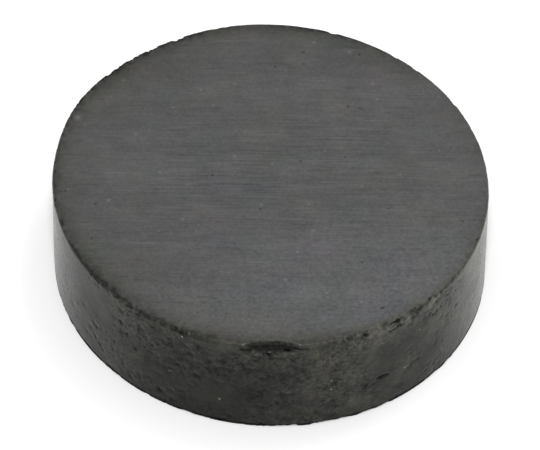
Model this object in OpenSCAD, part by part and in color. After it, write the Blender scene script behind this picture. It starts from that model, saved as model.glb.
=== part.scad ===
// Disc magnet of sintered ferrite: one solid piece, pressed in a round die, fired,
// and ground flat on both pole faces. Its edges are worn and chipped from handling.
// Frame: the axis of the disc is Z, and the origin is on it at the lower pole face.
// Azimuths are in degrees from +X, turning towards +Y.

/* [Disc] */
// Diameter of the fired round side
diameter = 18; // [8:0.5:60]
// Thickness between the two ground pole faces
thickness = 5; // [3:0.1:20]
// Radius that wear has put on the edge of the upper face
top_edge_r = 0.14; // [0.05:0.01:0.3]
// Radius that wear has put on the edge of the lower face
bottom_edge_r = 0.08; // [0.05:0.01:0.3]

/* [Front spall] */
// Azimuth of the long shallow flake that broke from the upper edge
spall_az = 271; // [0:1:359]
// Length of the flake along the edge
spall_len = 2.8; // [0.6:0.1:4]
// Depth of the flake, measured in from the sharp corner
spall_depth = 0.3; // [0.2:0.01:0.6]

/* [Small chips] */
// Azimuths of the chips at the back of the upper edge
back_chip_az = [31, 47, 54, 73]; // [0:1:359]
// Azimuths of the chips at the left of the upper edge
left_chip_az = [157, 187, 217, 230]; // [0:1:359]
// Azimuths of the chips at the front of the upper edge
front_chip_az = [236, 244, 251, 313]; // [0:1:359]
// Azimuths of the chips of the lower edge
foot_chip_az = [98, 196, 285]; // [0:1:359]
// Length of a small chip along the edge
chip_len = 0.8; // [0.3:0.05:1.2]
// Depth of a small chip, measured in from the sharp corner
chip_depth = 0.17; // [0.15:0.01:0.3]

/* [Gouges] */
// Azimuth at the middle of the two knocks beside each other on the upper edge
gouge_az = 305; // [0:1:359]
// Length of each gouge
gouge_len = 0.75; // [0.3:0.05:1.5]
// Width of each gouge at the surface
gouge_width = 0.12; // [0.05:0.01:0.25]
// Depth of each gouge, measured in from the sharp corner or from the round side
gouge_depth = 0.1; // [0.08:0.01:0.2]
// Drop from the upper face to the gouge that lies on the round side
gouge_drop = 0.42; // [0.35:0.01:1]

/* [Side pit] */
// Azimuth of the open pore in the round side
pit_az = 301; // [0:1:359]
// Height of the pore above the lower face
pit_z = 1.9; // [0.5:0.1:2.4]
// Width of the pore around the side
pit_len = 0.5; // [0.2:0.05:1]
// Height of the pore's mouth
pit_height = 0.14; // [0.05:0.01:0.15]
// Depth of the pore
pit_depth = 0.1; // [0.05:0.01:0.2]

/* [Hidden] */
$fn = 96;
radius = diameter / 2;
// A flake meets an edge half way between the two faces that form it
flake_tilt = 45;
ferrite = [0.33, 0.33, 0.32];

// Radius of the circle that cuts a bite of this length and depth out of a straight side
function bite_r(len, depth) = (len * len / 4 + depth * depth) / (2 * depth);

// Half section of the disc, with both edges rounded by wear
module disc_section() {
    wall_height = thickness - top_edge_r - bottom_edge_r;
    square([radius - top_edge_r, thickness]);
    square([radius - bottom_edge_r, thickness - top_edge_r]);
    translate([0, bottom_edge_r])
        square([radius, wall_height]);
    translate([radius - top_edge_r, thickness - top_edge_r])
        circle(top_edge_r);
    intersection() {
        translate([radius - bottom_edge_r, bottom_edge_r])
            circle(bottom_edge_r);
        square([radius, thickness]);
    }
}

// Shell-shaped flake out of an edge: a sphere that reaches in past the corner by depth
module edge_flake(az, corner_z, tilt, len, depth) {
    rotate([0, 0, az])
        translate([radius, 0, corner_z])
            rotate([0, -tilt, 0])
                translate([bite_r(len, depth) - depth, 0, 0])
                    sphere(bite_r(len, depth));
}

// Almond-shaped groove that lies level and points along -X: the space common to two
// spheres, one above and one below its plane, which meet in a circle of radius bite_r
module groove(len, width, depth) {
    rise = (len * len - width * width) / (4 * width);
    reach = bite_r(len, depth);
    ball_r = sqrt(rise * rise + reach * reach);
    translate([reach - depth, 0, 0])
        intersection() {
            translate([0, 0, rise])
                sphere(ball_r);
            translate([0, 0, -rise])
                sphere(ball_r);
        }
}

// A groove set at a height on the corner line or the round side, and tilted upwards
module side_groove(az, z, tilt, len, width, depth) {
    rotate([0, 0, az])
        translate([radius, 0, z])
            rotate([0, -tilt, 0])
                groove(len, width, depth);
}

module disc_magnet() {
    color(ferrite)
        difference() {
            rotate_extrude()
                disc_section();
            edge_flake(spall_az, thickness, flake_tilt, spall_len, spall_depth);
            for (az = concat(back_chip_az, left_chip_az, front_chip_az))
                edge_flake(az, thickness, flake_tilt, chip_len, chip_depth);
            for (az = foot_chip_az)
                edge_flake(az, 0, -flake_tilt, chip_len, chip_depth);
            side_groove(gouge_az, thickness, flake_tilt, gouge_len, gouge_width, gouge_depth);
            side_groove(gouge_az, thickness - gouge_drop, 0, gouge_len, gouge_width, gouge_depth);
            side_groove(pit_az, pit_z, 0, pit_len, pit_height, pit_depth);
        }
}

disc_magnet();
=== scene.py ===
# %% [markdown]
# # A worn ferrite disc magnet
#
# The object is one block of sintered ferrite: pressed from powder in a round die, fired,
# and ground flat on both pole faces. It has no parts to put together, so all of its
# character is in its surface: a ground face with fine straight lines, a rougher fired
# side with open pores, and an edge that knocks have chipped.
#
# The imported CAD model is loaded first. It is the fixed frame: it gives the size and place
# of the disc, and everything below is worked out from it.

import math

import bpy
import numpy as np
from mathutils import Euler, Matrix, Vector


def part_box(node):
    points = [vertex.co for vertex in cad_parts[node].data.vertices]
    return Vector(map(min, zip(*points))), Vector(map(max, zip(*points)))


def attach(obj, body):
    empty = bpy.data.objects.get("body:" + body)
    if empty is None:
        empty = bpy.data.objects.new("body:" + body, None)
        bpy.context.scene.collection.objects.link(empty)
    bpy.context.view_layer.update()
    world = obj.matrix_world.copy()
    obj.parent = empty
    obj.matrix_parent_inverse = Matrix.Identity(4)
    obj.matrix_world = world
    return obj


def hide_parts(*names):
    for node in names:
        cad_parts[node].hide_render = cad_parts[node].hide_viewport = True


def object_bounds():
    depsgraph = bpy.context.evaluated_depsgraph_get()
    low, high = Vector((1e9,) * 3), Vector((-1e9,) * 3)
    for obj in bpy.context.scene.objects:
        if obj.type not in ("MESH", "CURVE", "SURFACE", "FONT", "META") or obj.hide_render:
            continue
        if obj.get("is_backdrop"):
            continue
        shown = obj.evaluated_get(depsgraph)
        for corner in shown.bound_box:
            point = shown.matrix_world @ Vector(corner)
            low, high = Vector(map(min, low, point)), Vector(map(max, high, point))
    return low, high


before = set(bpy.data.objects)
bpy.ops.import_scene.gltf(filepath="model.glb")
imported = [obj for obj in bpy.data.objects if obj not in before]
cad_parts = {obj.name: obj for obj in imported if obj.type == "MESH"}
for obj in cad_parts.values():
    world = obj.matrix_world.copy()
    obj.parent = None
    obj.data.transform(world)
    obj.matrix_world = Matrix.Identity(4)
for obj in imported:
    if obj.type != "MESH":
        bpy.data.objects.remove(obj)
cad_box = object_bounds()
print("nodes in the frame:", sorted(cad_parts))

# %% [markdown]
# ## Sizes
#
# Blender works in metres, but a disc of 18 mm with flakes of a tenth of a millimetre is
# easier to think about in millimetres. The shape is worked out in millimetres and turned
# into metres once, when the mesh is made. Only the overall sizes are read from the frame;
# the edge radii are those that the CAD model gives the worn edges.

# %% Sizes of the disc, in millimetres
MM = 0.001
low_corner, high_corner = (np.array(corner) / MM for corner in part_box("disc_magnet"))
RADIUS = float((high_corner - low_corner)[:2].min() / 2)
THICKNESS = float(high_corner[2] - low_corner[2])
UPPER_EDGE = 0.14
LOWER_EDGE = 0.08
print(f"disc: radius {RADIUS:.3f} mm, thickness {THICKNESS:.3f} mm")

# %% [markdown]
# ## Camera
#
# A small thing on a table is usually pictured from some way off with a long lens, which
# keeps its two rims almost parallel. The camera is placed by its height angle and its
# distance, then aimed near the middle of the disc and rolled by a part of a degree. The
# focal length follows from how wide the disc should look in the frame.

# %% Camera
CAMERA_ELEVATION = math.radians(49.1)
CAMERA_ROLL = math.radians(0.7)
CAMERA_DISTANCE = 253 * MM
FOCAL_LENGTH = 410.3
AIM = Vector((0.0, 0.0, 2.31 * MM))

camera = bpy.data.objects.new("camera", bpy.data.cameras.new("camera"))
camera.data.lens = FOCAL_LENGTH
camera.data.clip_start = 0.01
camera.data.clip_end = 20
toward_camera = Vector((0, -math.cos(CAMERA_ELEVATION), math.sin(CAMERA_ELEVATION)))
camera.location = AIM + toward_camera * CAMERA_DISTANCE
aim_turn = (AIM - camera.location).to_track_quat("-Z", "Y")
camera.rotation_euler = (aim_turn @ Euler((0, 0, CAMERA_ROLL)).to_quaternion()).to_euler()
bpy.context.collection.objects.link(camera)
bpy.context.scene.camera = camera
print("camera at", [round(v, 4) for v in camera.location])

# %% [markdown]
# ## Studio
#
# The disc lies on a white sheet under a white tent. The tent is a plain white world, which
# gives light from all round. A soft lamp high in front adds more, and throws its shade
# back where the disc hides it. A weak second lamp, high behind on the right, leaves a
# faint shade along the foot of the disc on the left. The sheet is lit a little past
# white, and the plain (Standard) view keeps the tones as they are lit.

# %% Floor, lamps and world
FLOOR_SIZE = 6.0
SHEET_WHITE = (0.92, 0.92, 0.92, 1)
SHEET_ROUGH = 0.9
TENT_WHITE = (1, 1, 1, 1)
TENT_STRENGTH = 0.8
FRONT_LAMP = ((0.0, -0.28, 0.5), 0.08, 1.72)
BACK_LAMP = ((0.15, 0.15, 0.5), 0.12, 0.27)


def plain_plane(name, size, height):
    """A square of this size at this height, its faces upwards."""
    half = size / 2
    corners = [(-half, -half, height), (half, -half, height), (half, half, height), (-half, half, height)]
    mesh = bpy.data.meshes.new(name)
    mesh.from_pydata(corners, [], [(0, 1, 2, 3)])
    plane = bpy.data.objects.new(name, mesh)
    bpy.context.collection.objects.link(plane)
    return plane


def soft_lamp(name, place, size, power):
    """A round lamp at this place that shines at the foot of the disc. Its size across is
    in metres and its power in watts."""
    lamp = bpy.data.objects.new(name, bpy.data.lights.new(name, "AREA"))
    lamp.data.shape = "DISK"
    lamp.data.size = size
    lamp.data.energy = power
    lamp.location = place
    lamp.rotation_euler = (-lamp.location).to_track_quat("-Z", "Y").to_euler()
    bpy.context.collection.objects.link(lamp)


floor = plain_plane("floor", FLOOR_SIZE, 0.0)
floor_paint = bpy.data.materials.new("white_sheet")
floor_paint.use_nodes = True
floor_shader = floor_paint.node_tree.nodes["Principled BSDF"]
floor_shader.inputs["Base Color"].default_value = SHEET_WHITE
floor_shader.inputs["Roughness"].default_value = SHEET_ROUGH
floor_shader.inputs["Specular IOR Level"].default_value = 0.0
floor.data.materials.append(floor_paint)
floor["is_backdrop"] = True
soft_lamp("front_lamp", *FRONT_LAMP)
soft_lamp("back_lamp", *BACK_LAMP)

world = bpy.data.worlds.new("white_tent")
world.use_nodes = True
world.node_tree.nodes["Background"].inputs["Color"].default_value = TENT_WHITE
world.node_tree.nodes["Background"].inputs["Strength"].default_value = TENT_STRENGTH
bpy.context.scene.world = world
bpy.context.scene.view_settings.view_transform = "Standard"
print(f"studio: a sheet {FLOOR_SIZE} m wide and lamps of {FRONT_LAMP[2]} W and {BACK_LAMP[2]} W")

# %% [markdown]
# ## Random relief
#
# Fired and broken ceramic is uneven at every size. The classic way to get that is value
# noise: random numbers on a lattice, blended smoothly in between. Here it is a function
# of a point in space, so it has no seam anywhere on the disc, and it works on a whole
# array of points at once. Adding finer and fainter copies gives the crumbly look.

# %% Noise on whole arrays
LATTICE = 64


def lattice_noise(points, cell, seed):
    """A smooth random value from -1 to 1 at each point: random numbers sit on a cubic
    lattice with this cell, and a point blends its eight corners by 3t^2 - 2t^3."""
    table = np.random.default_rng(seed).uniform(-1, 1, (LATTICE,) * 3)
    place = points / cell
    corner = np.floor(place).astype(int)
    t = place - corner
    t = t * t * (3 - 2 * t)
    value = np.zeros(points.shape[:-1])
    for step in np.ndindex(2, 2, 2):
        weight = np.prod(np.where(step, t, 1 - t), axis=-1)
        index = (corner + step) % LATTICE
        value += weight * table[index[..., 0], index[..., 1], index[..., 2]]
    return value


def crumble(points, cell, seed, octaves=3):
    """Noise at several sizes: each octave is half the size and six tenths the strength."""
    strengths = 0.6 ** np.arange(octaves)
    layers = [s * lattice_noise(points, cell / 2**k, seed + k) for k, s in enumerate(strengths)]
    return sum(layers) / strengths.sum()


print(f"noise on a lattice that comes round again after {LATTICE} cells")

# %% [markdown]
# ## The disc as a grid
#
# A lathe shape is a section carried round an axis, so the disc is a grid: one direction
# runs along the half section, from the middle of the upper face over the edge and down
# the side to the middle of the lower face, and the other runs round the axis. Rings lie
# close together where there is something to see, which is the edge, the upper side, the
# height of an open pore and the foot, and far apart on the flat faces. The two middles
# are single points, so the surface is closed, and the last column joins the first.

# %% The half section
COLUMNS = 880
EDGE_ZONE = 1.0
UPPER_SIDE = 0.8
PORE_TOP = 2.2
PORE_BOTTOM = 1.6
FOOT = 0.26
FACE_RINGS = 4
RIM_RINGS = 20
UPPER_TURN_RINGS = 7
LOWER_TURN_RINGS = 4
FOOT_RINGS = 7
SIDE_STRETCHES = (
    (THICKNESS - UPPER_SIDE, 14),
    (PORE_TOP, 22),
    (PORE_BOTTOM, 12),
    (FOOT, 15),
    (LOWER_EDGE, 4),
)


def rings_between(begin, end, count):
    """Evenly spaced places of this many rings, from just after begin up to end."""
    return np.linspace(begin, end, count + 1)[1:]


def side_heights():
    """Heights of the rings down the side. Each stretch goes on from the one above it to
    its own lower end, with its own number of rings."""
    tops = [THICKNESS - UPPER_EDGE] + [bottom for bottom, _ in SIDE_STRETCHES]
    return np.concatenate([rings_between(top, *stretch) for top, stretch in zip(tops, SIDE_STRETCHES)])


def half_section():
    """Distance from the axis and height of each ring, in order from the upper face to the
    lower one: straight runs with a quarter circle at each edge, where a ring lies
    edge (1 - cos turn) inside the radius and edge (1 - |sin turn|) inside the face."""
    inner = rings_between(0, RADIUS - EDGE_ZONE, FACE_RINGS)
    outer = rings_between(RADIUS - EDGE_ZONE, RADIUS - UPPER_EDGE, RIM_RINGS)
    upper_turn = rings_between(math.pi / 2, 0, UPPER_TURN_RINGS)
    side = side_heights()
    lower_turn = rings_between(0, -math.pi / 2, LOWER_TURN_RINGS)
    foot = rings_between(RADIUS - LOWER_EDGE, RADIUS - EDGE_ZONE, FOOT_RINGS)
    under = rings_between(RADIUS - EDGE_ZONE, 0, FACE_RINGS)[:-1]
    across = [
        inner,
        outer,
        RADIUS - UPPER_EDGE * (1 - np.cos(upper_turn)),
        np.full(side.size, RADIUS),
        RADIUS - LOWER_EDGE * (1 - np.cos(lower_turn)),
        foot,
        under,
    ]
    up = [
        np.full(inner.size + outer.size, THICKNESS),
        THICKNESS - UPPER_EDGE * (1 - np.sin(upper_turn)),
        side,
        LOWER_EDGE * (1 + np.sin(lower_turn)),
        np.zeros(foot.size + under.size),
    ]
    return np.concatenate(across), np.concatenate(up)


ring_radius, ring_height = half_section()
azimuth = np.linspace(0, 2 * math.pi, COLUMNS, endpoint=False)
print(f"grid: {ring_radius.size} rings of {COLUMNS} points")

# %% [markdown]
# ## A little out of round
#
# The disc is pressed slightly smaller than the die where the powder is packed less, and
# it shrinks by up to a fifth in the kiln, so no fired disc is a true circle. Nothing is
# ground off its side afterwards. Two numbers give most of it: how much narrower it is one
# way, and which way that is. A low swelling and a shallow flat at the back are added.

# %% Out of round
OVAL = 0.25
LONG_AXIS = math.radians(-34)
SWELLS = ((151, 12, 0.1), (119, 11, -0.05))


def local_radius(angle):
    """Radius of the fired side at an azimuth: the full radius along the long axis, and
    less by OVAL across it, as a cosine of twice the angle. Each swell adds its height
    times exp(-t^2), where t is the angle from its middle in its own widths."""
    radius = RADIUS - OVAL * (1 - np.cos(2 * (angle - LONG_AXIS))) / 2
    for middle, width, height in SWELLS:
        turn = (np.degrees(angle) - middle + 180) % 360 - 180
        radius = radius + height * np.exp(-((turn / width) ** 2))
    return radius


def grid_points():
    """The points of the grid: each ring follows the oval in proportion to its radius."""
    reach = ring_radius[:, None] * local_radius(azimuth)[None, :] / RADIUS
    height = np.broadcast_to(ring_height[:, None], reach.shape)
    return np.stack([reach * np.cos(azimuth), reach * np.sin(azimuth), height], axis=-1)


points = grid_points()
side_reach = local_radius(azimuth)
print(f"fired side: from {side_reach.min():.3f} to {side_reach.max():.3f} mm from the axis")

# %% [markdown]
# ## The fired side
#
# The side keeps the skin that it had in the kiln. It is wavy by a few hundredths of a
# millimetre, and where the powder clumped it has small pits, which come in patches. Both
# only take material away, so the disc stays inside its nominal size. Round dimples would
# look drilled, so the pits are the high ground of one noise turned inwards: their
# outlines are then as uneven as the noise, and a second, wider noise says where the
# patches are.

# %% Waviness and pits of the side
SIDE_START = 0.1
SIDE_RISE = 0.08
WAVE_CELL = 1.4
WAVE_DEPTH = 0.035
PIT_CELL = 0.26
PIT_LEVEL = 0.2
PIT_RISE = 0.3
PIT_DEPTH = 0.05
PATCH_CELL = 1.7
PATCH_LEVEL = 0.6
PATCH_CONTRAST = 1.1
PATCH_LEAST = 0.2
ROUGH_SKIN = {
    0: 0.4, 90: 0.7, 150: 0.35, 195: 0.1, 212: 0.45, 228: 1.0,
    280: 0.8, 293: 0.65, 318: 0.95, 330: 0.4, 345: 0.15,
}


def ramp(value, low, rise):
    """0 up to low, 1 from low + rise on, and a straight rise between them."""
    return np.clip((value - low) / rise, 0, 1)


def side_share():
    """1 on the straight side, falling to 0 on the flat faces."""
    return ramp(ring_radius, RADIUS - SIDE_START, SIDE_RISE)[:, None]


def outward(angle):
    """Level unit vectors that point out from the axis at these azimuths."""
    return np.stack([np.cos(angle), np.sin(angle), np.zeros_like(angle)], axis=-1)


def press_in(depth):
    """Moves every point towards the axis by its own depth, on the side only."""
    points[...] -= (depth * side_share())[..., None] * outward(azimuth)[None]


def round_the_disc(values):
    """Blends values given at a few azimuths, in degrees, evenly round the disc."""
    return np.interp(np.degrees(azimuth), list(values), list(values.values()), period=360)


waves = 0.5 + 0.5 * crumble(points, WAVE_CELL, seed=3, octaves=2)
clumps = PATCH_LEVEL + PATCH_CONTRAST * crumble(points, PATCH_CELL, seed=13, octaves=2)
patches = np.clip(clumps, PATCH_LEAST, 1) * round_the_disc(ROUGH_SKIN)
pits = ramp(crumble(points, PIT_CELL, seed=12, octaves=2), PIT_LEVEL, PIT_RISE) * patches
press_in(WAVE_DEPTH * waves + PIT_DEPTH * pits)
print(f"pits in the side: up to {PIT_DEPTH * (pits * side_share()).max():.3f} mm deep")

# %% [markdown]
# ## Worn and crumbled edges
#
# Two things happen to the edge of a ferrite disc. Handling rubs it round, most of all on
# the side that slides on things, and knocks crumble it, because it is brittle. Rubbing
# is a quarter round whose radius changes round the disc. Crumbling is a cut across the
# corner at 45 degrees, a little deeper than the rounding in some places and not there at
# all in others, as noise decides. A point that lies outside either shape moves back
# until it lies on it.

# %% Rounding and crumbling of both edges
UPPER_ROUNDING = {
    0: 0.06, 80: 0.04, 105: 0.14, 125: 0.12, 145: 0.05, 200: 0.05, 235: 0.1,
    255: 0.28, 285: 0.4, 302: 0.34, 316: 0.12, 335: 0.05,
}
LOWER_ROUNDING = {0: 0.07, 180: 0.07, 240: 0.08, 262: 0.13, 300: 0.1, 335: 0.07}
UPPER_WEAR = {
    0: 0.03, 45: 0.02, 80: 0.03, 105: 0.06, 128: 0.11, 170: 0.1, 192: 0.06, 222: 0.065,
    240: 0.06, 255: 0.03, 280: 0.005, 304: 0.005, 312: 0.045, 335: 0.065, 350: 0.05,
}
LOWER_WEAR = {0: 0.04, 60: 0.05, 120: 0.04, 200: 0.05, 250: 0.04, 285: 0.08, 310: 0.04}
CRUMB_CELL = 0.27
CRUMB_LEVEL = 0.2
CRUMB_CONTRAST = 2.5
CRUMB_MOST = 2
TINY = 1e-6
broken = np.zeros(points.shape[:2])


def from_corner(corner_height, up):
    """How far each point lies out from the corner at this height, and how far above it
    (below it where up is -1); both are negative inside the disc. The third result is the
    way out from the axis at each point."""
    angle = np.arctan2(points[..., 1], points[..., 0])
    out = np.hypot(points[..., 0], points[..., 1]) - local_radius(angle)
    return out, up * (points[..., 2] - corner_height), outward(angle)


def round_corner(corner_height, up, radius):
    """Rubs the edge to a quarter round: a point past both centre lines of the round, and
    further from its centre than the radius, moves straight towards the centre."""
    out, above, direction = from_corner(corner_height, up)
    across, over = np.clip(out + radius, 0, None), np.clip(above + radius, 0, None)
    reach = np.hypot(across, over)
    share = np.clip(reach - radius, 0, None) / np.maximum(reach, TINY)
    share = np.where((across > 0) & (over > 0), share, 0)
    points[...] -= (share * across)[..., None] * direction
    points[..., 2] -= up * share * over


def cut_corner(corner_height, up, depth):
    """Breaks the edge away. How far a point stands out towards the corner is
    (outward + upward) / sqrt 2, both measured from the corner; what is over -depth is
    taken back along that direction."""
    out, above, direction = from_corner(corner_height, up)
    excess = np.clip((out + above) / math.sqrt(2) + depth, 0, None)
    direction[..., 2] = up
    points[...] -= excess[..., None] * direction / math.sqrt(2)
    broken[...] = np.maximum(broken, excess)


def wear_edge(corner_height, up, rounding, wear, seed):
    """Rounds an edge and then crumbles it. The round takes sqrt 2 - 1 of its radius off
    the corner, and the crumbling goes on from there, where noise lets it."""
    radius = round_the_disc(rounding)
    uneven = crumble(points, CRUMB_CELL, seed=seed, octaves=2)
    round_corner(corner_height, up, radius)
    crumbled = round_the_disc(wear) * np.clip(CRUMB_LEVEL + CRUMB_CONTRAST * uneven, 0, CRUMB_MOST)
    cut_corner(corner_height, up, radius * (math.sqrt(2) - 1) + crumbled)


wear_edge(THICKNESS, 1, UPPER_ROUNDING, UPPER_WEAR, seed=21)
wear_edge(0.0, -1, LOWER_ROUNDING, LOWER_WEAR, seed=31)
print(f"edges crumbled by up to {broken.max():.3f} mm")

# %% [markdown]
# ## Flakes
#
# A knock takes out a shell-shaped flake. Its face is close to part of a sphere that
# comes in across the corner, so one length and one depth describe it. The large ones
# have the places that they have in the CAD model; many small nicks are strewn at random,
# most of them where the edge is worn most, and as deep as the wear there.

# %% Flakes out of the edges
FLAKE_CELL = 0.22
FLAKE_SEED = 40
SPALL = (271, 3.5, 0.31)
CHIP_LENGTH = 0.6
CHIP_DEPTH = 0.12
FOOT_CHIP_LENGTH = 1.1
UPPER_CHIPS = (31, 47, 54, 73, 157, 187, 217, 230, 236, 244, 251, 313)
LOWER_CHIPS = (98, 196, 285)
NICKS = 110
NICK_LENGTHS = (0.12, 0.36)
NICK_DEPTHS = (0.7, 1.3)


def flake(degrees, length, depth, corner_height=THICKNESS, up=1, roughness=0.25):
    """Knocks a flake out: the sphere's radius is (length^2 / 4 + depth^2) / (2 depth), and
    it reaches in past the corner by depth. Points inside it move in along the flake's
    own direction until they meet the sphere. Noise in the sphere's radius, by
    roughness times depth, makes the break uneven."""
    angle = math.radians(degrees)
    direction = np.array([math.cos(angle), math.sin(angle), up]) / math.sqrt(2)
    ball = (length**2 / 4 + depth**2) / (2 * depth)
    corner = outward(np.array(angle)) * local_radius(angle)
    corner[2] = corner_height
    near = np.linalg.norm(points - corner, axis=-1) < length
    offset = points[near] - (corner + (ball - depth) * direction)
    uneven = ball + roughness * depth * crumble(points[near], FLAKE_CELL, seed=int(degrees) + FLAKE_SEED)
    along = -(offset @ direction)
    inside = uneven**2 - (offset**2).sum(axis=-1)
    move = np.where(inside > 0, np.sqrt(np.clip(inside + along**2, 0, None)) - along, 0)
    points[near] -= move[:, None] * direction
    broken[near] = np.maximum(broken[near], move)


flake(*SPALL, roughness=0.2)
for degrees in UPPER_CHIPS:
    flake(degrees, CHIP_LENGTH, CHIP_DEPTH, roughness=0.3)
for degrees in LOWER_CHIPS:
    flake(degrees, FOOT_CHIP_LENGTH, CHIP_DEPTH, corner_height=0.0, up=-1)

nick_source = np.random.default_rng(5)
wear_share = round_the_disc(UPPER_WEAR)
for _ in range(NICKS):
    column = nick_source.choice(COLUMNS, p=wear_share / wear_share.sum())
    nick_length = nick_source.uniform(*NICK_LENGTHS)
    nick_depth = wear_share[column] * nick_source.uniform(*NICK_DEPTHS)
    flake(math.degrees(azimuth[column]), nick_length, nick_depth, roughness=0.8)
print(f"deepest break {broken.max():.3f} mm")

# %% [markdown]
# ## Gouges and open pores
#
# Something hard struck the edge twice and left two short grooves beside each other, and
# a pit lies near them in the face. One pore in the side is wide open. The floor of the
# large flake has a deeper part, with a few narrow pores along its lower side. All of them
# are painted near black, as painted shade inside the hollows.
# Each of these is an almond-shaped hollow: long one way, narrow the other. Its section
# is half an ellipse, measured in half lengths along it and half widths across it. An
# almond is given by its azimuth in degrees, its drop below the upper face, its length,
# its width and its depth.

# %% Gouges and open pores
# Each BLACK below is how dark a hollow is painted, as painted shade inside it.
GOUGE_AZIMUTH = 304.6
GOUGE_LENGTH = 0.85
GOUGE_WIDTH = 0.06
GOUGE_DEPTH = 0.08
GOUGE_DROP = 0.42
GOUGE_BLACK = 0.3
FACE_PIT = (304.5, 0.0, 0.22, 0.12, 0.06)
FACE_PIT_INSET = 0.93
FACE_PIT_BLACK = 0.5
STRAIGHT_DOWN = 50
SPALL_FLOOR = (270.5, 0.14, 1.9, 0.24, 0.04)
SPALL_FLOOR_INSET = 0.14
SPALL_FLOOR_BLACK = 0.55
PORES = (
    (301, 3.1, 0.6, 0.15, 0.35),
    (264, 0.26, 0.6, 0.12, 0.1),
    (270, 0.45, 0.22, 0.16, 0.12),
    (275, 0.28, 0.34, 0.1, 0.08),
    (278.5, 0.2, 0.7, 0.06, 0.06),
)
HOLLOW_REACH = 0.5
BLACK_RISE = 4
hollow_shade = np.zeros(points.shape[:2])


def almond(degrees, drop, length, width, depth, lift=0.0, inset=0.0, black=1.0):
    """Presses an almond-shaped hollow into the surface, at inset from the round side. It
    lies along the side, and is pressed in along a direction that is lifted by lift for
    each step outwards. Where spread = (2 along / length)^2 + (2 across / width)^2 is
    under 1, a point moves in by depth times the root of 1 - spread."""
    angle = math.radians(degrees)
    along = np.array([-math.sin(angle), math.cos(angle), 0])
    into = -np.array([math.cos(angle), math.sin(angle), lift]) / math.hypot(1, lift)
    across = np.cross(along, into)
    middle = outward(np.array(angle)) * (local_radius(angle) - inset)
    middle[2] = THICKNESS - drop
    offset = points - middle
    spread = (2 * (offset @ along) / length) ** 2 + (2 * (offset @ across) / width) ** 2
    hollow = np.where(np.abs(offset @ into) < HOLLOW_REACH, np.clip(1 - spread, 0, 1), 0)
    points[...] += (depth * np.sqrt(hollow))[..., None] * into
    # The hollow is also painted black by its share: painted shade inside it.
    hollow_shade[...] = np.maximum(hollow_shade, black * np.clip(BLACK_RISE * hollow, 0, 1))


gouge = (GOUGE_LENGTH, GOUGE_WIDTH, GOUGE_DEPTH)
almond(GOUGE_AZIMUTH, 0.0, *gouge, lift=1.0, black=GOUGE_BLACK)
almond(GOUGE_AZIMUTH, GOUGE_DROP, *gouge, black=GOUGE_BLACK)
almond(*FACE_PIT, lift=STRAIGHT_DOWN, inset=FACE_PIT_INSET, black=FACE_PIT_BLACK)
almond(*SPALL_FLOOR, lift=1.0, inset=SPALL_FLOOR_INSET, black=SPALL_FLOOR_BLACK)
for pore in PORES:
    almond(*pore)
print(f"hollows: 2 gouges, a pit, the floor of the flake and {len(PORES)} pores")

# %% [markdown]
# ## From grid to mesh
#
# The grid becomes a mesh of quads, with one fan of triangles at each middle to close it.
# Smooth shading lets the light run evenly over the rounded edges.

# %% Build the mesh


def disc_mesh(name):
    """Joins the rings into quads, in columns that run round the axis, and closes both
    middles with a fan. Faces point outwards."""
    rings = points.shape[0]
    last = rings * COLUMNS
    vertices = np.concatenate([points.reshape(-1, 3), [[0, 0, THICKNESS], [0, 0, 0]]]) * MM
    ring, column = np.meshgrid(np.arange(rings - 1), np.arange(COLUMNS), indexing="ij")
    beside = (column + 1) % COLUMNS
    quads = np.stack([ring * COLUMNS + column, (ring + 1) * COLUMNS + column,
                      (ring + 1) * COLUMNS + beside, ring * COLUMNS + beside], axis=-1)
    start = np.arange(COLUMNS)
    beside = (start + 1) % COLUMNS
    upper_fan = np.stack([np.full(COLUMNS, last), start, beside], axis=-1)
    foot = (rings - 1) * COLUMNS
    lower_fan = np.stack([np.full(COLUMNS, last + 1), foot + beside, foot + start], axis=-1)
    faces = quads.reshape(-1, 4).tolist() + upper_fan.tolist() + lower_fan.tolist()
    mesh = bpy.data.meshes.new(name)
    mesh.from_pydata(vertices.tolist(), [], faces)
    mesh.shade_smooth()
    return mesh


mesh = disc_mesh("disc_magnet_worn")
disc = bpy.data.objects.new("disc_magnet_worn", mesh)
bpy.context.collection.objects.link(disc)
triangles = sum(len(p.vertices) - 2 for p in mesh.polygons)
print(f"mesh: {len(mesh.vertices)} points, {triangles} triangles")

# %% [markdown]
# ## What was done where
#
# One finish will cover the whole disc, and values that are stored on the points tell it
# what was done to the surface there. The first four come straight from the shaping: how
# far a point is ground face, how far it is broken, how far it is a pit, and how rough
# the skin round it is.

# %% Values from the shaping
GROUND_START = 0.4
GROUND_RISE = 0.8
FULLY_BROKEN = 0.06


def point_value(name, grid_value, upper_middle=0, lower_middle=0):
    """Stores one value at each point of the disc's mesh, under this name."""
    values = np.append(np.asarray(grid_value, float).ravel(), [upper_middle, lower_middle])
    mesh.attributes.new(name, "FLOAT", "POINT").data.foreach_set("value", values)
    print(f"{name}: from {values.min():.2f} to {values.max():.2f}")


def still_ground():
    """1 on the pole faces, falling to 0 over the width of the rounding at the rim."""
    inwards = (RADIUS - ring_radius)[:, None] / round_the_disc(UPPER_ROUNDING)
    return ramp(inwards, GROUND_START, GROUND_RISE)


point_value("ground", still_ground(), 1, 1)
point_value("broken", ramp(broken, 0, FULLY_BROKEN))
point_value("pitted", pits)
point_value("patchy", patches)
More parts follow.
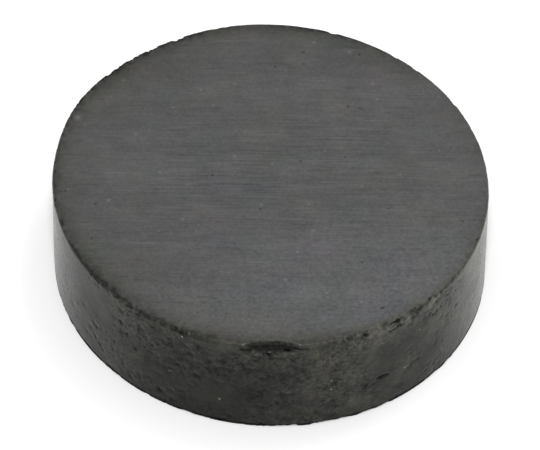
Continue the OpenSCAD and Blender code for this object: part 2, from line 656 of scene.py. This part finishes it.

# %% [markdown]
# ## Darkening, painted shade, painted sheen and rubbing
#
# The other values are darkening, painted shade, painted sheen and wear. The face is
# darker towards the rim, and above the large flake that darkening is painted shade. A
# thin black line at the very foot is a painted contact shadow. The skin of the side is
# paler in places, most of all just under the upper edge: partly from rubbing, and partly
# painted sheen where the side is seen at a glancing angle. Rubbing has also left one
# small pale mark on the face. All of it differs round the disc, so it is given at a few
# azimuths and blended in between.

# %% Darkening, painted shade, painted sheen and wear
# How much darker the face gets towards the rim; near 268 to 282 degrees, above the large flake, it is
# painted shade.
RIM_DARKENING = {
    0: 0.22, 20: 0.25, 40: 0.1, 60: 0.75, 80: 1.0, 100: 0.95, 120: 1.3, 140: 1.3, 160: 0.85,
    180: 0.7, 200: 0.8, 220: 1.15, 240: 1.1, 268: 1.25, 282: 1.2, 300: 0.55, 320: 0.35, 340: 0.38,
}
DARKENING_FALLS = ((0.3, 0.12), (0.62, 0.45), (0.11, 1.4))
DARKENING_MOST = 0.8
RAGGED_CELL = 0.2
RAGGED_STRENGTH = 1.1
RAGGED_REACH = 0.35
RAGGED_RANGE = (0.2, 2)
RUB_MARK = (157, 0.34, 0.13)
RUB_MARK_PALE = 0.3
# Paler side skin: partly rubbing, and partly painted sheen near 0, 185 and 340 degrees, where the side is
# seen at a glancing angle.
SIDE_RUB_AND_SHEEN = {
    0: 1.0, 90: 0.4, 185: 1.0, 197: 0.25, 205: 0.1, 222: 0.14, 232: 0.13, 243: 0.0, 256: 0.0,
    264: 0.05, 272: 0.08, 282: 0.3, 298: 0.42, 311: 0.14, 319: 0.14, 328: 0.48, 340: 1.0,
}
TOP_RUB_AND_SHEEN = {
    0: 0.5, 90: 0.5, 190: 0.5, 205: 0.3, 218: 0.05, 232: 0.4, 250: 0.6, 280: 0.7, 300: 0.7,
    313: 1.0, 325: 0.9, 340: 0.5,
}
TOP_RUB_AND_SHEEN_REACH = 0.8
# A painted contact shadow: a black line at the very foot of the side.
FOOT_SHADOW_HEIGHT = 0.2
FOOT_SHADOW_FADE = 0.05


def rub_mark():
    """A small fresh rub near the rim: exp(-(distance / size)^2) round its middle."""
    degrees, inset, size = RUB_MARK
    angle, reach = math.radians(degrees), RADIUS - inset
    aside, ahead = points[..., 0] - reach * math.cos(angle), points[..., 1] - reach * math.sin(angle)
    return np.exp(-((np.hypot(aside, ahead) / size) ** 2))


def darker_rim():
    """Darkening of the face towards the rim, which above the large flake is painted shade. It
    is a sum of share * exp(-inwards / reach) terms, so it falls off fast at the very edge
    and then ever more slowly. Noise makes it ragged near the rim, it differs round the disc,
    and the rub mark takes it off and goes below zero."""
    inwards = np.clip(RADIUS - ring_radius, 0, None)[:, None]
    fall = sum(share * np.exp(-inwards / reach) for share, reach in DARKENING_FALLS)
    uneven = crumble(points, RAGGED_CELL, seed=61, octaves=2)
    ragged = 1 + RAGGED_STRENGTH * uneven * np.exp(-inwards / RAGGED_REACH)
    darkening = fall * np.clip(ragged, *RAGGED_RANGE) * round_the_disc(RIM_DARKENING)
    darkening = np.clip(darkening, 0, DARKENING_MOST)
    return darkening - (darkening + RUB_MARK_PALE) * rub_mark()


def rub_and_sheen():
    """How much paler the side is, from rubbing and from painted sheen at a glancing angle:
    a share that differs round the disc, and more at the top, which falls off as
    exp(-down / reach)."""
    down = (THICKNESS - ring_height)[:, None]
    more_at_top = round_the_disc(TOP_RUB_AND_SHEEN) * np.exp(-down / TOP_RUB_AND_SHEEN_REACH)
    return np.clip(round_the_disc(SIDE_RUB_AND_SHEEN) + more_at_top, 0, 1)


def painted_foot_shadow():
    """The painted black line of contact shadow at the very foot of the side, two tenths of a
    millimetre high."""
    at_side = ring_radius > RADIUS - LOWER_EDGE
    darkening = np.clip((FOOT_SHADOW_HEIGHT - ring_height) / FOOT_SHADOW_FADE, 0, 1)
    return np.where(at_side, darkening, 0)[:, None]


# The hollows and the foot line are stored together: both are painted near black, as painted shade.
point_value("hollow", np.maximum(hollow_shade, painted_foot_shadow()))
point_value("darkening", darker_rim())
point_value("lit_and_rubbed", rub_and_sheen())

# %% [markdown]
# ## The surface laid flat
#
# To paint or bake the finish, the surface has to be laid out on a square. A disc suggests
# how: the two pole faces become two round pieces side by side, and the side is unrolled
# below them, cut in two so that all pieces can have the same scale. The distance along
# the half section stands for the distance from the middle, so nothing is squeezed at the
# edges.

# %% Lay the surface out flat
FLAT_SIZE = 37.6
FLAT_GAP = 0.4


def lay_flat(mesh):
    """A flat map with the name OFBake, from ring and column numbers. Run is the distance
    along the half section from the upper middle; each face has the same corners as in
    the mesh, and a column that ends the round counts as the next number, not as zero."""
    run = ring_radius[0] + np.append(0, np.cumsum(np.hypot(np.diff(ring_radius), np.diff(ring_height))))
    whole = run[-1] + ring_radius[-1]
    upper_end = np.argmax(ring_height < THICKNESS - UPPER_EDGE + TINY)
    lower_end = np.argmax(ring_height < LOWER_EDGE + TINY)
    upper_reach, lower_reach = run[upper_end], whole - run[lower_end]
    upper_middle = np.array([FLAT_GAP + upper_reach, FLAT_SIZE - FLAT_GAP - upper_reach])
    lower_middle = np.array([FLAT_SIZE - FLAT_GAP - lower_reach, FLAT_SIZE - FLAT_GAP - upper_reach])
    strip_top = FLAT_SIZE - 2 * (FLAT_GAP + upper_reach)
    strip_pitch = run[lower_end] - run[upper_end] + FLAT_GAP

    def on_upper(distance, angle):
        """A point of the upper face's round piece."""
        return upper_middle + distance[..., None] * np.stack([np.cos(angle), np.sin(angle)], axis=-1)

    def on_lower(distance, angle):
        """A point of the lower face's round piece, which is seen from below."""
        return lower_middle + distance[..., None] * np.stack([-np.cos(angle), np.sin(angle)], axis=-1)

    ring, column = np.meshgrid(np.arange(run.size - 1), np.arange(COLUMNS), indexing="ij")
    distance = run[ring[..., None] + np.array([0, 1, 1, 0])]
    angle = (column[..., None] + np.array([0, 0, 1, 1])) * 2 * math.pi / COLUMNS
    second = (column >= COLUMNS // 2)[..., None]
    strips = np.stack([
        FLAT_GAP + RADIUS * (angle - math.pi * second),
        strip_top - (distance - run[upper_end]) - strip_pitch * second,
    ], axis=-1)
    is_upper, is_lower = (ring < upper_end)[..., None, None], (ring >= lower_end)[..., None, None]
    below = np.where(is_lower, on_lower(whole - distance, angle), strips)
    quads = np.where(is_upper, on_upper(distance, angle), below)
    begin = np.arange(COLUMNS) * 2 * math.pi / COLUMNS
    finish = begin + 2 * math.pi / COLUMNS
    none, first, last = (np.full(COLUMNS, value) for value in (0.0, run[0], whole - run[-1]))
    upper_fan = np.stack([on_upper(none, begin), on_upper(first, begin), on_upper(first, finish)], axis=1)
    lower_fan = np.stack([on_lower(none, begin), on_lower(last, finish), on_lower(last, begin)], axis=1)
    flat = np.concatenate([quads.reshape(-1), upper_fan.reshape(-1), lower_fan.reshape(-1)]) / FLAT_SIZE
    mesh.uv_layers.new(name="OFBake").data.foreach_set("uv", flat)
    return flat


flat = lay_flat(mesh)
print(f"flat map: {FLAT_SIZE} mm across, filled from {flat.min():.3f} to {flat.max():.3f}")

# %% [markdown]
# ## Node groups
#
# The finish is made of a few effects that come back in several places: straight lines,
# grain, pores and clouds. Each is a node group, built once, with named inputs in
# millimetres. The groups put out values, masks and a stain colour; the material decides
# what to do with them.

# %% Helpers for nodes


def add_node(tree, kind, settings=None, values=None):
    """Adds a node, sets its properties, and sets its inputs by name or number."""
    node = tree.nodes.new(kind)
    for name, value in (settings or {}).items():
        setattr(node, name, value)
    for name, value in (values or {}).items():
        if isinstance(value, bpy.types.NodeSocket):
            tree.links.new(value, node.inputs[name])
        else:
            node.inputs[name].default_value = value
    return node


def maths(tree, operation, *values):
    """A Math node of this operation on numbers or sockets; gives its output."""
    return add_node(tree, "ShaderNodeMath", {"operation": operation}, dict(enumerate(values))).outputs[0]


def new_group(name, inputs, outputs):
    """An empty shader group with these inputs (name: default, three numbers for a vector)
    and value outputs; gives the group and its two end nodes."""
    group = bpy.data.node_groups.new(name, "ShaderNodeTree")
    for label, default in inputs.items():
        kind = "NodeSocketVector" if isinstance(default, tuple) else "NodeSocketFloat"
        socket = group.interface.new_socket(label, in_out="INPUT", socket_type=kind)
        socket.default_value = default
    for label in outputs:
        group.interface.new_socket(label, in_out="OUTPUT", socket_type="NodeSocketFloat")
    return group, group.nodes.new("NodeGroupInput"), group.nodes.new("NodeGroupOutput")


def step_up(tree, value, low, high):
    """0 below low, 1 above high, and a smooth rise between them."""
    return add_node(
        tree, "ShaderNodeMapRange", {"interpolation_type": "SMOOTHSTEP"},
        {"Value": value, "From Min": low, "From Max": high},
    ).outputs["Result"]


# %% [markdown]
# ### Grinding lines
#
# The pole faces were ground under a wheel that passed straight over them, so the lines
# all run one way. Noise that is stretched a few millimetres along X and squeezed to
# about a tenth of a millimetre along Y gives such lines. The highest and the lowest
# parts of a second one are the few ridges and grooves that stand out.

# %% Group: grinding lines
STANDS_OUT = (0.6, 0.74)
lines_group, start, end = new_group(
    "grinding_lines",
    {"Place": (0.0, 0.0, 0.0), "Length": 3.0, "Width": 0.1, "Seed": 0.0},
    ["Lines", "Grooves", "Ridges"],
)
stretch = add_node(
    lines_group, "ShaderNodeCombineXYZ", {},
    {0: maths(lines_group, "DIVIDE", 1.0, start.outputs["Length"]),
     1: maths(lines_group, "DIVIDE", 1.0, start.outputs["Width"])},
)
squeezed = add_node(
    lines_group, "ShaderNodeVectorMath", {"operation": "MULTIPLY"},
    {0: start.outputs["Place"], 1: stretch.outputs[0]},
)
fine_lines = add_node(
    lines_group, "ShaderNodeTexNoise", {"noise_dimensions": "4D"},
    {"Vector": squeezed.outputs[0], "W": start.outputs["Seed"],
     "Scale": 1.0, "Detail": 3.0, "Roughness": 0.6},
)
deep_lines = add_node(
    lines_group, "ShaderNodeTexNoise", {"noise_dimensions": "4D"},
    {"Vector": squeezed.outputs[0], "W": maths(lines_group, "ADD", start.outputs["Seed"], 5.0),
     "Scale": 1.2, "Detail": 1.0},
)
highest = deep_lines.outputs["Fac"]
lowest = maths(lines_group, "SUBTRACT", 1.0, highest)
lines_group.links.new(fine_lines.outputs["Fac"], end.inputs["Lines"])
lines_group.links.new(step_up(lines_group, lowest, *STANDS_OUT), end.inputs["Grooves"])
lines_group.links.new(step_up(lines_group, highest, *STANDS_OUT), end.inputs["Ridges"])
print("group:", lines_group.name, "with", len(lines_group.nodes), "nodes")

# %% [markdown]
# ### Grain, clouds and stains
#
# One group serves for all: plain noise of a stated size. It puts out a value round 0.5,
# and a colour whose three parts wander apart, for slight stains.

# %% Group: grain
grain_group, start, end = new_group(
    "grain", {"Place": (0.0, 0.0, 0.0), "Size": 0.1, "Octaves": 3.0, "Seed": 0.0}, ["Value"]
)
grain_group.interface.new_socket("Stain", in_out="OUTPUT", socket_type="NodeSocketColor")
grain_noise = add_node(
    grain_group, "ShaderNodeTexNoise", {"noise_dimensions": "4D"},
    {"Vector": start.outputs["Place"], "W": start.outputs["Seed"],
     "Scale": maths(grain_group, "DIVIDE", 1.0, start.outputs["Size"]),
     "Detail": start.outputs["Octaves"], "Roughness": 0.6},
)
grain_group.links.new(grain_noise.outputs["Fac"], end.inputs["Value"])
grain_group.links.new(grain_noise.outputs["Color"], end.inputs["Stain"])
print("group:", grain_group.name, "with", len(grain_group.nodes), "nodes")

# %% [markdown]
# ### Pores and specks
#
# A Voronoi pattern gives each point the distance to the nearest of many scattered
# seeds. Close to a seed is a spot. Only a share of the seeds is used, picked by the
# random colour of the cell, and the same colour makes the spots different in size.
# Perfect discs would look printed, so the place is first pushed about by fine noise,
# which gives each spot a torn outline. The group serves for dark pores, and again for
# the pale specks of single crystals, which are painted glints.

# %% Group: spots
PUSHES_A_SPOT = 0.6
SMALLEST_SPOT = 0.4
SPOT_CORE = 0.4
spots_group, start, end = new_group(
    "spots",
    {"Place": (0.0, 0.0, 0.0), "Spacing": 0.5, "Size": 0.1, "Share": 0.3, "Warp": 0.1},
    ["Mask"],
)
push = add_node(
    spots_group, "ShaderNodeTexNoise", {},
    {"Vector": start.outputs["Place"],
     "Scale": maths(spots_group, "DIVIDE", PUSHES_A_SPOT, start.outputs["Size"])},
)
centred = add_node(
    spots_group, "ShaderNodeVectorMath", {"operation": "SUBTRACT"},
    {0: push.outputs["Color"], 1: (0.5, 0.5, 0.5)},
)
warped = add_node(
    spots_group, "ShaderNodeVectorMath", {"operation": "MULTIPLY_ADD"},
    {0: centred.outputs[0], 1: start.outputs["Warp"], 2: start.outputs["Place"]},
)
cells = add_node(
    spots_group, "ShaderNodeTexVoronoi", {"voronoi_dimensions": "3D", "feature": "F1"},
    {"Vector": warped.outputs[0],
     "Scale": maths(spots_group, "DIVIDE", 1.0, start.outputs["Spacing"])},
)
pick = add_node(spots_group, "ShaderNodeSeparateColor", {}, {0: cells.outputs["Color"]})
used = maths(spots_group, "LESS_THAN", pick.outputs[0], start.outputs["Share"])
reach = maths(
    spots_group, "MULTIPLY",
    maths(spots_group, "DIVIDE", start.outputs["Size"], start.outputs["Spacing"]),
    maths(spots_group, "ADD", pick.outputs[1], SMALLEST_SPOT),
)
closeness = maths(spots_group, "DIVIDE", cells.outputs["Distance"], reach)
spot = maths(spots_group, "SUBTRACT", 1.0, step_up(spots_group, closeness, SPOT_CORE, 1.0))
spots_group.links.new(maths(spots_group, "MULTIPLY", spot, used), end.inputs["Mask"])
print("group:", spots_group.name, "with", len(spots_group.nodes), "nodes")

# %% [markdown]
# ## The ferrite
#
# One material covers the whole disc, because it is one ceramic; what differs is what was
# done to its surface. Three finishes are worked out and then mixed by the values stored
# on the mesh. This cell holds the small helpers that they share.

# %% Helpers for the finish
MIX_SOCKETS = {"RGBA": (6, 7, 2), "FLOAT": (2, 3, 0)}


def add_group(tree, group, **values):
    """Puts a node group into a tree with its own values."""
    return add_node(tree, "ShaderNodeGroup", {"node_tree": group}, values)


def place_group(tree, group, **values):
    """Puts a node group into a tree with its own values; gives its first output."""
    return add_group(tree, group, **values).outputs[0]


def blend(tree, share, first, second, kind="RGBA"):
    """Mixes two colours or numbers: all of the first at share 0, of the second at 1. The
    Mix node has other sockets for each kind: two inputs and an output, by number."""
    a, b, result = MIX_SOCKETS[kind]
    node = add_node(tree, "ShaderNodeMix", {"data_type": kind}, {0: share, a: first, b: second})
    return node.outputs[result]


def tint(tree, colour, tone):
    """A colour made lighter or darker by a tone, where 1 leaves it as it is."""
    return add_node(
        tree, "ShaderNodeVectorMath", {"operation": "SCALE"}, {0: colour, "Scale": tone}
    ).outputs[0]


def stained(tree, colour, stain, strength):
    """A colour whose three parts are each changed by strength times the stain's part,
    which is 0.5 where there is no change."""
    change = add_node(
        tree, "ShaderNodeVectorMath", {"operation": "MULTIPLY_ADD"},
        {0: stain, 1: (strength,) * 3, 2: (1 - strength / 2,) * 3},
    )
    return add_node(
        tree, "ShaderNodeVectorMath", {"operation": "MULTIPLY"}, {0: colour, 1: change.outputs[0]}
    ).outputs[0]


def weighted(tree, base, *terms):
    """base plus each (value, weight, middle): weight times how far value is from middle."""
    total = base
    for value, weight, middle in terms:
        part = maths(tree, "MULTIPLY", maths(tree, "SUBTRACT", value, middle), weight)
        total = maths(tree, "ADD", total, part)
    return total


def stored(tree, name):
    """A value that was stored on the points of the mesh."""
    return add_node(tree, "ShaderNodeAttribute", {"attribute_name": name}).outputs["Fac"]


# %% [markdown]
# ### The ground face
#
# A middle grey. Faint even lines, a few clear grooves and ridges, and powdery dust give
# it its grain, wide bands and clouds its slow change, and small dark pores and pale
# specks, painted glints of single crystals, are scattered over it. It is darker and more
# olive towards the rim, and above the large flake that darkening is painted shade. The
# even lines are clearest in the middle of the face and fade outwards. The front is
# painted a little paler and cooler, as painted light, with more powder.

# %% Finish of the ground face
FACE_GREY = (0.0717, 0.0721, 0.0715, 1)
FACE_OLIVE = (0.0716, 0.0724, 0.0662, 1)
FACE_COOL = (0.0706, 0.0720, 0.0738, 1)
FACE_ROUGH = 0.5
FACE_STAIN = 0.16
OLIVE_RANGE = (0.0, 0.3)
CLEAR_OVAL = (0.8, 1.15, 0.0)
CLEAR_RANGE = (2.5, 7.0)
CLEAR_LOSS = -0.7
# Painted light on the face: it grows towards the front, a little to the right.
LIGHT_WAY = (0.3, -0.95, 0.0)
LIGHT_RANGE = (0.5, 8.0)


def clear_cut(tree, place):
    """How clear the even lines are: 1 in the middle, and less outwards. The distance from
    the middle is taken in an oval, wider along the lines than across them."""
    oval = add_node(tree, "ShaderNodeVectorMath", {"operation": "MULTIPLY"}, {0: place, 1: CLEAR_OVAL})
    from_middle = add_node(
        tree, "ShaderNodeVectorMath", {"operation": "LENGTH"}, {0: oval.outputs[0]}
    ).outputs["Value"]
    return weighted(tree, 1.0, (step_up(tree, from_middle, *CLEAR_RANGE), CLEAR_LOSS, 0.0))


def painted_front_light(tree, place):
    """How much painted light the face gets: 0 behind the middle, 1 at the front."""
    toward_front = add_node(
        tree, "ShaderNodeVectorMath", {"operation": "DOT_PRODUCT"}, {0: place, 1: LIGHT_WAY}
    ).outputs["Value"]
    return step_up(tree, toward_front, *LIGHT_RANGE)


def ground_face(tree, place):
    """Colour, roughness and height of the ground face."""
    even = place_group(tree, lines_group, Place=place, Length=2.6, Width=0.085, Seed=1.0)
    clear = add_group(tree, lines_group, Place=place, Length=1.9, Width=0.095, Seed=7.0)
    groove, ridge = clear.outputs["Grooves"], clear.outputs["Ridges"]
    bands = place_group(tree, lines_group, Place=place, Length=14.0, Width=1.4, Seed=4.0)
    smears = place_group(tree, lines_group, Place=place, Length=1.0, Width=0.5, Seed=11.0)
    clouds = add_group(tree, grain_group, Place=place, Size=1.8, Octaves=2.0, Seed=2.0)
    cloud, stain = clouds.outputs["Value"], clouds.outputs["Stain"]
    dust = place_group(tree, grain_group, Place=place, Size=0.13, Octaves=2.0, Seed=3.0)
    pores = place_group(tree, spots_group, Place=place, Spacing=0.6, Size=0.075, Share=0.4, Warp=0.08)
    glint_specks = place_group(tree, spots_group, Place=place, Spacing=0.52, Size=0.085, Share=0.45, Warp=0.08)
    # The front gets painted light: paler, cooler and with more powder.
    darkening, lit_and_rubbed = stored(tree, "darkening"), painted_front_light(tree, place)
    lines = maths(tree, "MULTIPLY", weighted(tree, 0.0, (even, 0.85, 0.5)), clear_cut(tree, place))
    dusty = weighted(tree, 0.6, (lit_and_rubbed, 0.65, 0.0))
    powder = maths(tree, "MULTIPLY", weighted(tree, 0.0, (dust, 1.0, 0.5)), dusty)
    tone = weighted(
        tree, 1.0,
        (lines, 1.0, 0.0), (powder, 1.0, 0.0), (bands, 0.5, 0.5), (smears, 0.4, 0.5), (cloud, 0.35, 0.5),
        (groove, -0.18, 0.0), (ridge, 0.17, 0.0), (pores, -0.42, 0.0), (glint_specks, 0.42, 0.0),
        (lit_and_rubbed, 0.22, 0.0),
    )
    colour = blend(tree, lit_and_rubbed, FACE_GREY, FACE_COOL)
    colour = blend(tree, step_up(tree, darkening, *OLIVE_RANGE), colour, FACE_OLIVE)
    colour = stained(tree, colour, stain, FACE_STAIN)
    undarkened = maths(tree, "SUBTRACT", 1.0, darkening)
    colour = tint(tree, colour, maths(tree, "MULTIPLY", tone, undarkened))
    rough = weighted(tree, FACE_ROUGH, (even, 0.2, 0.5), (ridge, -0.08, 0.0))
    height = weighted(
        tree, 0.0,
        (even, 0.003, 0.5), (groove, -0.003, 0.0), (ridge, 0.002, 0.0), (dust, 0.003, 0.5),
        (pores, -0.015, 0.0),
    )
    return colour, rough, height


# %% [markdown]
# ### The fired side
#
# Darker, more olive and mottled, and a little smoother than the face, so that it mirrors
# the white surroundings at a glancing angle. The mottling is noise at three sizes. Dark
# pores keep to the patches where the pits are, and a few pale crystals are painted glints.
# The skin is paler where it is rubbed, and where painted sheen stands in for the glancing
# reflection at the left and right.

# %% Finish of the fired side
SIDE_BLACK = (0.0092, 0.0095, 0.0078, 1)
SIDE_RUB_AND_SHEEN_GREY = (0.0513, 0.0520, 0.0420, 1)
# Pale crystals on the side, painted as glints.
CRYSTAL_GLINT_GREY = (0.14, 0.14, 0.13, 1)
SIDE_ROUGH = 0.25
SIDE_STAIN = 0.35
SIDE_DARKEST = 0.12


def fired_side(tree, place):
    """Colour, roughness and height of the fired side."""
    fine = place_group(tree, grain_group, Place=place, Size=0.15, Octaves=2.0, Seed=6.0)
    middle = place_group(tree, grain_group, Place=place, Size=0.42, Octaves=2.0, Seed=8.0)
    blotches = add_group(tree, grain_group, Place=place, Size=1.6, Octaves=2.0, Seed=7.0)
    pores = place_group(tree, spots_group, Place=place, Spacing=0.3, Size=0.1, Share=0.4, Warp=0.25)
    glint_specks = place_group(tree, spots_group, Place=place, Spacing=0.5, Size=0.05, Share=0.14, Warp=0.05)
    patchy, pitted, lit_and_rubbed = stored(tree, "patchy"), stored(tree, "pitted"), stored(tree, "lit_and_rubbed")
    pores = maths(tree, "MULTIPLY", pores, patchy)
    coarse = weighted(tree, 0.18, (patchy, 1.0, 0.0))
    mottle = weighted(tree, 0.0, (fine, 3.6, 0.5), (middle, 3.2, 0.5))
    mottle = maths(tree, "MULTIPLY", mottle, coarse)
    tone = weighted(
        tree, 1.0,
        (mottle, 1.0, 0.0), (blotches.outputs["Value"], 2.4, 0.5), (pores, -0.7, 0.0),
        (pitted, -0.5, 0.0),
    )
    tone = maths(tree, "MAXIMUM", tone, SIDE_DARKEST)
    # The skin is paler where it is rubbed, and where painted sheen stands in for the glancing reflection.
    skin = blend(tree, lit_and_rubbed, SIDE_BLACK, SIDE_RUB_AND_SHEEN_GREY)
    colour = stained(tree, skin, blotches.outputs["Stain"], SIDE_STAIN)
    colour = blend(tree, glint_specks, tint(tree, colour, tone), CRYSTAL_GLINT_GREY)
    rough = weighted(tree, SIDE_ROUGH, (fine, 0.3, 0.5), (pores, 0.3, 0.0))
    relief = weighted(tree, 0.0, (fine, 0.014, 0.5), (middle, 0.022, 0.5))
    grain = maths(tree, "MULTIPLY", relief, coarse)
    return colour, rough, weighted(tree, 0.0, (grain, 1.0, 0.0), (pores, -0.02, 0.0))


# %% [markdown]
# ### The break
#
# Breaks are painted nearly black: partly the dark colour of broken ferrite, and partly
# painted shade in the chips. Crumbs of noise make it rough, and a few pale crystals are
# painted glints.

# %% Finish of the breaks
# Nearly black: partly broken ferrite, partly painted shade in the chips.
BREAK_BLACK = (0.0135, 0.0140, 0.0115)
BREAK_ROUGH = 0.6
BREAK_DARKEST = 0.1


def fresh_break(tree, place):
    """Colour and height of broken ceramic; its roughness is the same all over."""
    crumbs = place_group(tree, grain_group, Place=place, Size=0.12, Octaves=3.0, Seed=9.0)
    crystal_glints = place_group(tree, spots_group, Place=place, Spacing=0.3, Size=0.08, Share=0.2, Warp=0.05)
    tone = weighted(tree, 1.0, (crumbs, 4.2, 0.5), (crystal_glints, 4.0, 0.0))
    tone = maths(tree, "MAXIMUM", tone, BREAK_DARKEST)
    return tint(tree, BREAK_BLACK, tone), weighted(tree, 0.0, (crumbs, 0.04, 0.5))


# %% [markdown]
# ### All three together
#
# The stored values decide which finish shows. The index of refraction is low for a
# ceramic: the surface is porous, so much less light is mirrored than a polished piece
# of ferrite would mirror.

# %% Material: ferrite
HOLLOW_SHADE_BLACK = (0.001, 0.001, 0.001, 1)
HOLLOW_ROUGH = 0.9
FERRITE_IOR = 1.2


def ferrite():
    """The finish of the whole disc; heights are in millimetres."""
    material = bpy.data.materials.new("ferrite")
    material.use_nodes = True
    tree = material.node_tree
    shader = tree.nodes["Principled BSDF"]
    coordinates = tree.nodes.new("ShaderNodeTexCoord")
    place = add_node(
        tree, "ShaderNodeMapping", {}, {"Vector": coordinates.outputs["Object"], "Scale": (1 / MM,) * 3}
    ).outputs[0]
    face_colour, face_rough, face_height = ground_face(tree, place)
    side_colour, side_rough, side_height = fired_side(tree, place)
    break_colour, break_height = fresh_break(tree, place)
    ground, chipped, hollow = stored(tree, "ground"), stored(tree, "broken"), stored(tree, "hollow")
    colour = blend(tree, ground, side_colour, face_colour)
    colour = blend(tree, chipped, colour, break_colour)
    # Hollows and the foot line are painted near black: painted shade.
    colour = blend(tree, hollow, colour, HOLLOW_SHADE_BLACK)
    rough = blend(tree, ground, side_rough, face_rough, kind="FLOAT")
    rough = blend(tree, chipped, rough, BREAK_ROUGH, kind="FLOAT")
    rough = blend(tree, hollow, rough, HOLLOW_ROUGH, kind="FLOAT")
    height = blend(tree, ground, side_height, face_height, kind="FLOAT")
    height = blend(tree, chipped, height, break_height, kind="FLOAT")
    bump = add_node(tree, "ShaderNodeBump", {}, {"Strength": 1.0, "Distance": MM, "Height": height})
    tree.links.new(colour, shader.inputs["Base Color"])
    tree.links.new(rough, shader.inputs["Roughness"])
    tree.links.new(bump.outputs[0], shader.inputs["Normal"])
    shader.inputs["IOR"].default_value = FERRITE_IOR
    return material


mesh.materials.append(ferrite())
print("finish:", mesh.materials[0].name, "with", len(mesh.materials[0].node_tree.nodes), "nodes")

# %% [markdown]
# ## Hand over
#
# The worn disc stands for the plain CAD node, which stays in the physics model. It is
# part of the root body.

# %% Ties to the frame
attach(disc, "root")
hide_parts("disc_magnet")

# %% [markdown]
# ## Sizes to compare
#
# The worn disc has to fill the same box as the CAD model, but for what wear has taken
# away. Both sizes are printed, so that they can be compared.

# %% Sizes to compare, and finish
visual_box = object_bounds()


def plain(box):
    """The box as plain lists of numbers."""
    return [[float(v) for v in corner] for corner in box]


for label, box in (("CAD", cad_box), ("visual", visual_box)):
    print("size in mm,", label + ":", np.ptp(plain(box), axis=0) / MM)
